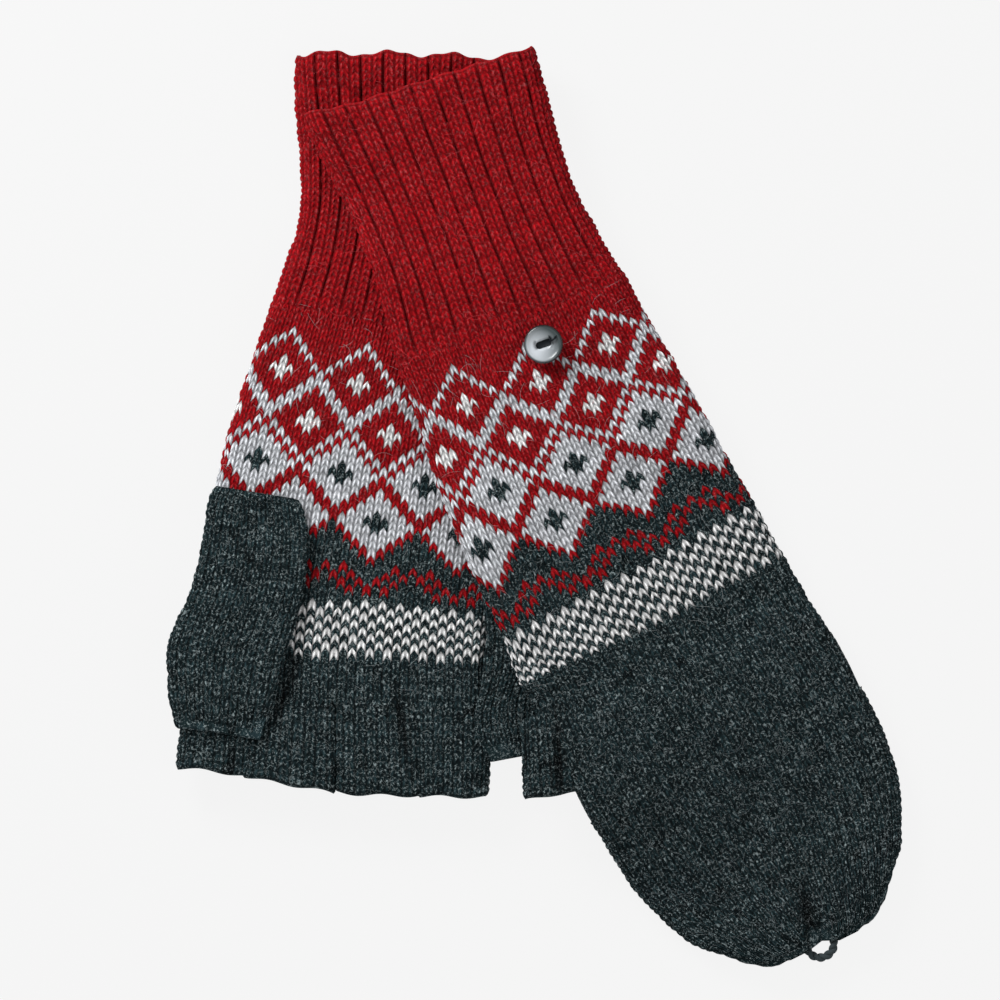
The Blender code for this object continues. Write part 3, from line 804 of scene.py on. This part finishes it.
def build_mitten(side, drape, place_hand, widths, stubs, swing, mirrored, wools):
    body = side + "_mitten"
    red, patterned, charcoal = wools
    seed = 20 if mirrored else 10
    ribs = turned_columns(rib_columns(), mirrored)
    seam = RIGHT_PATTERN_S if mirrored else LEFT_PATTERN_S
    cuff = knit_tube(side + "_cuff_knit", cuff_shape(drape, widths, not mirrored), ribs,
                     (0.0, seam + CUFF_UNDER_HAND), plain(RED_YARN), relief=CUFF_RELIEF,
                     joins=(False, True), seed=seed)
    finish_piece(cuff, red, "red_wool", body, side + "_cuff")

    shift = RIGHT_SHIFT if mirrored else 0
    creases = RIGHT_CREASES if mirrored else LEFT_CREASES
    hand = knit_tube(side + "_hand_knit", tube_shape(drape, widths, HAND_HALF),
                     turned_columns(stitch_columns(HAND_WALES), mirrored), (seam, KNUCKLE_S + 0.0011),
                     hand_chart(shift), joins=(True, True), creases=creases, seed=seed + 1)
    finish_piece(hand, patterned, "patterned_wool", body, side + "_hand")

    thumb = knit_tube(side + "_thumb_knit", thumb_shape(place_hand, swing),
                      turned_columns(stitch_columns(THUMB_WALES), mirrored), (THUMB_HEM_S, THUMB_HEEL_S),
                      plain(CHARCOAL_YARN), closed=True, seed=seed + 2)
    finish_piece(thumb, charcoal, "charcoal_wool", side + "_thumb", side + "_thumb")

    for index, stub in enumerate(stubs):
        name = side + "_" + stub[0]
        hem_slope = LEFT_INDEX_SLOPE if name == "left_index" else 0.0
        piece = knit_tube(name + "_knit", stub_shape(place_hand, stub, hem_slope),
                          turned_columns(stitch_columns(STUB_WALES), mirrored),
                          (KNUCKLE_S - 0.0013, KNUCKLE_S + STUB_LENGTH),
                          plain(CHARCOAL_YARN), joins=(True, False), creases=creases, seed=seed + 3 + index)
        moves = name in frame["bodies"]
        if moves:
            start = point_of(place_hand, stub[1], KNUCKLE_S - 0.0005, 0.0)
            end = point_of(place_hand, stub[1], KNUCKLE_S + 0.0050, 0.0)
            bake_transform(piece)
        finish_piece(piece, charcoal, "charcoal_wool", None if moves else body, name)


def build_caps(charcoal):
    """Each cap as one knitted piece, from its seam to its tip."""
    left_middle = HAND_HALF + GAP + LAYER / 2
    right_middle = -FOLDED_CAP_HALF + LAYER / 2
    for side, shape, place, middle, creases, seed in (
            ("left", left_cap_shape, place_left, left_middle, LEFT_CREASES, 40),
            ("right", right_cap_shape, place_right_folded, right_middle, (), 50)):
        is_left = side == "left"
        columns = turned_columns(stitch_columns(HAND_WALES), not is_left)
        starts = cap_starts(columns[0], is_left)
        cap = knit_tube(side + "_cap_knit", shape, columns, (HINGE_S, CAP_TIP_S), plain(CHARCOAL_YARN),
                        closed=True, starts=starts, joins=(is_left, False), creases=creases, seed=seed)
        start = point_of(place, 0.0, HINGE_S, middle)
        end = point_of(place, 0.0, HINGE_S + 0.004, middle)
        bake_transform(cap)
        finish_piece(cap, charcoal, "charcoal_wool", None, side + "_cap", side + "_cap_back")


def smooth_object(name, points, faces):
    mesh = bpy.data.meshes.new(name)
    mesh.from_pydata(points.tolist(), [], faces)
    mesh.polygons.foreach_set("use_smooth", np.ones(len(faces), bool))
    return linked_object(name, mesh)


def strand_mesh(name, lines, radii, sides=3):
    """Closed thin tubes along polylines, all in one mesh; lines is strands by points by 3."""
    count, steps, _ = lines.shape
    along_it = np.gradient(lines, axis=1)
    along_it /= np.maximum(np.linalg.norm(along_it, axis=2, keepdims=True), 1e-12)
    side = np.cross(along_it, np.array((0.31, 0.17, 0.93)))
    side /= np.maximum(np.linalg.norm(side, axis=2, keepdims=True), 1e-12)
    over = np.cross(along_it, side)
    angle = 2.0 * math.pi * np.arange(sides) / sides
    ring = (side[:, :, None] * np.cos(angle)[:, None] + over[:, :, None] * np.sin(angle)[:, None])
    taper = np.ones(steps)
    taper[[0, -1]] = 0.02
    points = lines[:, :, None] + ring * (radii * taper)[None, :, None, None]
    index = np.arange(count * steps * sides).reshape(count, steps, sides)
    low, high = index[:, :-1], index[:, 1:]
    walls = np.stack((low, np.roll(low, -1, axis=2), np.roll(high, -1, axis=2), high), axis=-1)
    faces = walls.reshape(-1, 4).tolist() + index[:, 0, ::-1].tolist() + index[:, -1].tolist()
    return smooth_object(name, points.reshape(-1, 3), faces)


def flat_paint(name, colour, roughness, shine=0.1):
    made = bpy.data.materials.new(name)
    made.use_nodes = True
    shader = made.node_tree.nodes["Principled BSDF"]
    shader.inputs["Base Color"].default_value = (*colour, 1.0)
    shader.inputs["Roughness"].default_value = roughness
    shader.inputs["Specular IOR Level"].default_value = shine
    return made


def plied(line, radius, plies=2, turns_per_metre=210.0, steps=90, square_to=(0.0, 0.0, 1.0)):
    """Plies twisted round a line that never runs along square_to."""
    stops = np.linspace(0.0, 1.0, len(line))
    fine = np.linspace(0.0, 1.0, steps)
    centre = along(np.column_stack((stops, line)), fine)
    run = np.gradient(centre, axis=0)
    length = np.concatenate(([0.0], np.cumsum(np.linalg.norm(np.diff(centre, axis=0), axis=1))))
    run /= np.linalg.norm(run, axis=1, keepdims=True)
    side = np.cross(run, square_to)
    side /= np.linalg.norm(side, axis=1, keepdims=True)
    over = np.cross(run, side)
    strands = []
    for ply in range(plies):
        angle = 2.0 * math.pi * (length * turns_per_metre + ply / plies)
        swing = side * np.cos(angle)[:, None] + over * np.sin(angle)[:, None]
        strands.append(centre + swing * radius * 0.48)
    return np.array(strands)


def build_loops(paint):
    """A ring of plied yarn at the left cap's tip, and one drawn out round the right button's shank."""
    around = np.radians(np.linspace(-50.0, 230.0, 14))
    centre_u, centre_s, reach = LEFT_LOOP
    line = place_left(centre_u + reach * np.cos(around), centre_s + reach * np.sin(around), np.zeros(14))
    loop = strand_mesh("left_loop_yarn", plied(line, YARN_RADIUS), YARN_RADIUS * PLY_SHARE, 8)
    finish_piece(loop, paint, "charcoal_wool", "left_cap", "left_cap_loop")
    angles = np.radians(np.linspace(-42.0, 222.0, 12))
    centre, reach = RIGHT_LOOP
    line = place_right(RIGHT_LOOP_HALF_WIDTH * np.cos(angles),
                       2.0 * HINGE_S - (centre + reach * np.sin(angles)),
                       np.full(12, HAND_HALF + GAP + YARN_RADIUS))
    loop = strand_mesh("right_loop_yarn", plied(line, YARN_RADIUS), YARN_RADIUS * PLY_SHARE, 8)
    finish_piece(loop, paint, "charcoal_wool", "right_cap", "right_cap_loop")


def button_mesh(name, sign):
    """A dished round button with an oblong recess, its back at 0 and its face towards sign."""
    rim = BUTTON_RADIUS
    # share of the radius, height
    profile = ((0.10, 0.00), (0.70, 0.00), (0.95, 0.0005), (1.00, 0.0011), (0.985, 0.0016), (0.94, 0.0020),
               (0.88, 0.00220), (0.80, 0.00205), (0.76, 0.00190), (0.60, 0.00175), (0.40, 0.00168))
    # half length, half width, height
    recess_rings = ((0.0027, 0.00125, 0.00166), (0.0025, 0.00110, 0.0011), (0.0003, 0.0001, 0.0010))
    around = 72
    angle = 2.0 * math.pi * np.arange(around) / around
    rings = [np.stack((np.cos(angle) * rim * r, np.sin(angle) * rim * r, np.full(around, z)), axis=1)
             for r, z in profile]
    tilt = math.radians(20.0)
    for half_long, half_wide, z in recess_rings:
        x = np.cos(angle) * half_wide + np.sign(np.cos(angle)) * (half_long - half_wide)
        y = np.sin(angle) * half_wide
        rings.append(np.stack((x * math.cos(tilt) - y * math.sin(tilt) + 0.0001,
                               x * math.sin(tilt) + y * math.cos(tilt) + 0.0001,
                               np.full(around, z)), axis=1))
    points = np.concatenate(rings)
    points[:, 2] *= sign
    count = len(rings)
    faces = grid_faces(count, around)[:-1].reshape(-1, 4).tolist()
    faces.append(tuple(reversed(range(around))))
    faces.append(tuple((count - 1) * around + step for step in range(around)))
    if sign < 0:
        faces = [tuple(reversed(face)) for face in faces]
    made = smooth_object(name, points, faces)
    recess = set(range((count - 2) * around, count * around))
    for polygon in made.data.polygons:
        polygon.material_index = 1 if set(polygon.vertices) <= recess else 0
    return made


def pearl_paint():
    """Smoky mother-of-pearl with painted light: a painted highlight to one side, painted shade across the
    rest of the button and on its rim.
    """
    made = flat_paint("smoky_pearl", PEARL, 0.25, 0.5)
    tree = made.node_tree
    shader = tree.nodes["Principled BSDF"]
    place = node(tree, "ShaderNodeTexCoord")
    # painted highlight to one side of the face, painted shade across the rest and on the rim
    shading = ring_ramp(tree, place, (0.0024, 0.0018, 0.0), ((0.20, PEARL), (1.25, PEARL_SHADE)))
    rim = ring_ramp(tree, place, (0.0, 0.0, 0.0), ((0.84, (1.0, 1.0, 1.0)), (0.93, RIM_SHADE_SHARE)))
    both = node(tree, "ShaderNodeVectorMath", operation="MULTIPLY")
    tree.links.new(shading, both.inputs[0])
    tree.links.new(rim, both.inputs[1])
    tree.links.new(both.outputs["Vector"], shader.inputs["Base Color"])
    return made


def ring_ramp(tree, place, offset, stops):
    """A colour by the distance from a point of the button's face, in button radii."""
    aside = node(tree, "ShaderNodeVectorMath", operation="ADD")
    aside.inputs[1].default_value = offset
    flat = node(tree, "ShaderNodeVectorMath", operation="MULTIPLY")
    flat.inputs[1].default_value = (1.0, 1.0, 0.0)
    reach = node(tree, "ShaderNodeVectorMath", operation="LENGTH")
    (near, near_colour), (far, far_colour) = stops
    ramp = node(tree, "ShaderNodeValToRGB")
    ramp.color_ramp.elements[0].position = 0.0
    ramp.color_ramp.elements[0].color = (*near_colour, 1.0)
    ramp.color_ramp.elements[1].position = 1.0
    ramp.color_ramp.elements[1].color = (*far_colour, 1.0)
    share = map_range(tree, near * BUTTON_RADIUS, far * BUTTON_RADIUS, 0.0, 1.0)
    link = tree.links.new
    link(place.outputs["Object"], aside.inputs[0])
    link(aside.outputs["Vector"], flat.inputs[0])
    link(flat.outputs["Vector"], reach.inputs[0])
    link(reach.outputs["Value"], share.inputs["Value"])
    link(share.outputs["Result"], ramp.inputs["Fac"])
    return ramp.outputs["Color"]


def build_buttons():
    """Each button on its thread shank, and the loose thread tails of the left one."""
    pearl = pearl_paint()
    thread = flat_paint("black_thread", THREAD_BLACK, 0.6)
    for side, sign, face in (("left", 1.0, point_of(place_left, *LEFT_BUTTON, HAND_HALF)),
                             ("right", -1.0, point_of(place_right, *RIGHT_BUTTON, HAND_HALF))):
        button = button_mesh(side + "_button_dish", sign)
        button.location = face + np.array((0.0, 0.0, sign * STEM_LENGTH))
        finish_piece(button, pearl, "button_pearl", side + "_mitten", side + "_button")
        button.data.materials.append(thread)
        stem = face + np.outer(np.array((0.0, 0.35, 0.7, 1.05)) * STEM_LENGTH, (0.0, 0.0, sign))
        wraps = plied(stem, 0.0011, 3, 900.0, square_to=(1.0, 0.0, 0.0))
        shank = strand_mesh(side + "_shank_wraps", wraps, 0.0005, 6)
        finish_piece(shank, thread, "black_thread", side + "_mitten", side + "_button_shank")
    face = point_of(place_left, *LEFT_BUTTON, HAND_HALF + STEM_LENGTH + BUTTON_THICK)
    ends = (((0.0014, 0.0007, -0.0006), (0.0022, 0.0010, 0.0001), (0.0030, 0.0014, 0.0003),
             (0.0036, 0.0022, 0.0002), (0.0040, 0.0027, 0.0000)),
            ((0.0014, 0.0007, -0.0006), (0.0020, 0.0011, 0.0001), (0.0021, 0.0016, 0.0002),
             (0.0018, 0.0022, 0.0002), (0.0015, 0.0028, 0.0000)))
    tails = strand_mesh("left_thread_tails", face + np.array(ends), 0.00030, 6)
    finish_piece(tails, thread, "black_thread", "left_mitten", "left_button_thread")


def stray_fibres(shape, turns, s_range, count, length, seed):
    """Fine hairs that stand off the wool, following its surface in loose curls."""
    source = np.random.default_rng(seed)
    turn = source.uniform(*turns, count)
    s = source.uniform(*s_range, count)
    heading = source.uniform(0.0, 2.0 * math.pi, count)
    bend = source.normal(0.0, 190.0, count)
    reach = length * source.uniform(0.35, 1.3, count)
    lines = np.empty((count, STRAY_STEPS, 3))
    for step in range(STRAY_STEPS):
        share = step / (STRAY_STEPS - 1)
        lift = 0.0002 + 0.0009 * math.sin(math.pi * share)
        point = shape(turn, s)
        point[:, 2] += lift
        lines[:, step] = point
        heading = heading + bend * reach / STRAY_STEPS
        s = np.clip(s + np.sin(heading) * reach / STRAY_STEPS, *s_range)
        turn = turn + np.cos(heading) * reach / STRAY_STEPS / GIRTH
    return lines


def build_fibres():
    """Stray hairs over the sides that show."""
    red = flat_paint("red_hair", (0.50, 0.06, 0.07), 0.8)
    grey = flat_paint("grey_hair", (0.30, 0.32, 0.33), 0.8)
    dark = flat_paint("charcoal_hair", (0.15, 0.17, 0.18), 0.8)
    left_tube = tube_shape(drape_left, LEFT_WIDTH, HAND_HALF)
    right_tube = tube_shape(drape_right, RIGHT_WIDTH, HAND_HALF)
    # name, tube, how far round and along it, how many, length, paint, slot, body
    patches = (("left_red", left_tube, (0.02, 0.48), (0.002, 0.115), 150, 0.009,
                red, "red_wool", "left_mitten"),
               ("left_grey", left_tube, (0.02, 0.48), (0.080, 0.188), 160, 0.007,
                grey, "patterned_wool", "left_mitten"),
               ("right_red", right_tube, (0.52, 0.98), (0.002, 0.115), 120, 0.009,
                red, "red_wool", "right_mitten"),
               ("right_grey", right_tube, (0.52, 0.98), (0.080, 0.190), 140, 0.007,
                grey, "patterned_wool", "right_mitten"),
               ("left_cap", left_cap_shape, (0.03, 0.47), (0.192, 0.281), 330, 0.006,
                dark, "charcoal_wool", "left_cap"))
    for seed, (name, shape, turns, s_range, count, length, paint, slot, body) in enumerate(patches, 60):
        lines = stray_fibres(shape, turns, s_range, count, length, seed)
        hairs = strand_mesh(name + "_hairs", lines, STRAY_RADIUS)
        finish_piece(hairs, paint, slot, body)


def add_stage():
    """A white sheet that glows, so that only the deepest shade shows on it."""
    bpy.ops.mesh.primitive_plane_add(size=4.0, location=(0.0, 0.0, -0.0005))
    floor = bpy.context.object
    floor.name = "floor"
    paper = bpy.data.materials.new("paper")
    paper.use_nodes = True
    shader = paper.node_tree.nodes["Principled BSDF"]
    shader.inputs["Base Color"].default_value = (0.03, 0.03, 0.03, 1.0)
    shader.inputs["Roughness"].default_value = 1.0
    shader.inputs["Specular IOR Level"].default_value = 0.0
    shader.inputs["Emission Color"].default_value = (1.0, 1.0, 1.0, 1.0)
    shader.inputs["Emission Strength"].default_value = FLOOR_GLOW
    floor.data.materials.append(paper)


def add_light(name, energy, size, place):
    data = bpy.data.lights.new(name, "AREA")
    data.energy = energy
    data.size = size
    light = linked_object(name, data)
    light.location = place
    light.rotation_euler = (-Vector(place)).to_track_quat("-Z", "Y").to_euler()


def add_lights_and_camera():
    scene = bpy.context.scene
    world = bpy.data.worlds.new("studio")
    world.use_nodes = True
    tree = world.node_tree
    background = tree.nodes["Background"]
    background.inputs["Color"].default_value = (1.0, 1.0, 1.0, 1.0)
    seen = node(tree, "ShaderNodeLightPath")
    strength = map_range(tree, 0.0, 1.0, WORLD_LIGHT, WORLD_SEEN)
    tree.links.new(seen.outputs["Is Camera Ray"], strength.inputs["Value"])
    tree.links.new(strength.outputs["Result"], background.inputs["Strength"])
    scene.world = world
    add_light("key", 9.2, 0.35, (-0.45, 0.55, 0.50))
    add_light("fill", 2.8, 0.9, (0.60, -0.30, 0.80))
    scene.view_settings.view_transform = "Standard"
    data = bpy.data.cameras.new("camera")
    data.type = "ORTHO"
    data.ortho_scale = VIEW_WIDTH
    camera = linked_object("camera", data)
    camera.location = CAMERA_PLACE
    scene.camera = camera


def build():
    wools = wool("red_wool_knit"), wool("patterned_wool_knit"), wool("charcoal_wool_knit")
    build_mitten("right", drape_right, place_right_hand, RIGHT_WIDTH, RIGHT_STUBS, 0.0, True, wools)
    build_mitten("left", drape_left, place_left_hand, LEFT_WIDTH, LEFT_STUBS, LEFT_THUMB_SWING,
                 False, wools)
    build_caps(wools[2])
    build_loops(flat_paint("charcoal_yarn", LOOP_GREY, 0.95))
    build_buttons()
    build_fibres()
    add_stage()
    add_lights_and_camera()


build()
